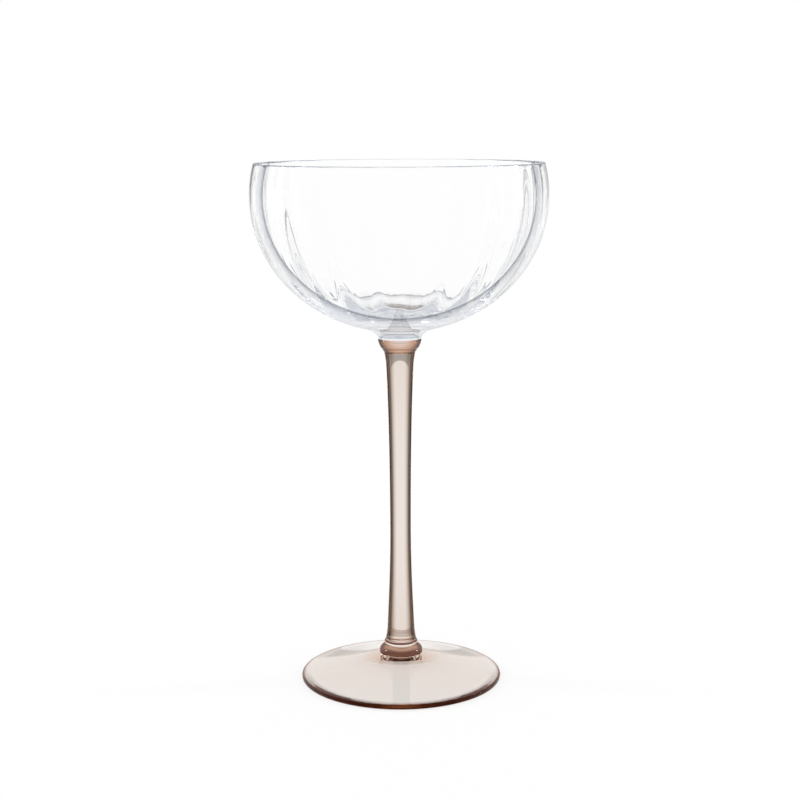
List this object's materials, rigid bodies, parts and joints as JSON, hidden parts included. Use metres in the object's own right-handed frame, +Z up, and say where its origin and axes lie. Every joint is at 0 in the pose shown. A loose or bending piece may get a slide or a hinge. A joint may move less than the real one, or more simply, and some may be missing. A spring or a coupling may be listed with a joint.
{
  "type": "champagne coupe glass",
  "caption": "Coupe glass for sparkling wine: a wide clear bowl with soft upright ribs, on a slim tinted stem with a collar at each end and a round tinted foot.",
  "frame": {"origin": "centre of the flat ring under the foot, on the table plane", "axes": "+Z up along the axis of the stem, -Y towards the viewer of the picture"},
  "size_m": [0.1066, 0.1066, 0.19],
  "materials": {
    "clear_glass": "clear, fire polished",
    "tinted_glass": "pale rose-brown tint, fire polished"
  },
  "bodies": {
    "root": {"bowl": "clear_glass", "upper_collar": "tinted_glass", "stem": "tinted_glass", "lower_collar": "tinted_glass", "foot": "tinted_glass"}
  },
  "joints": []
}
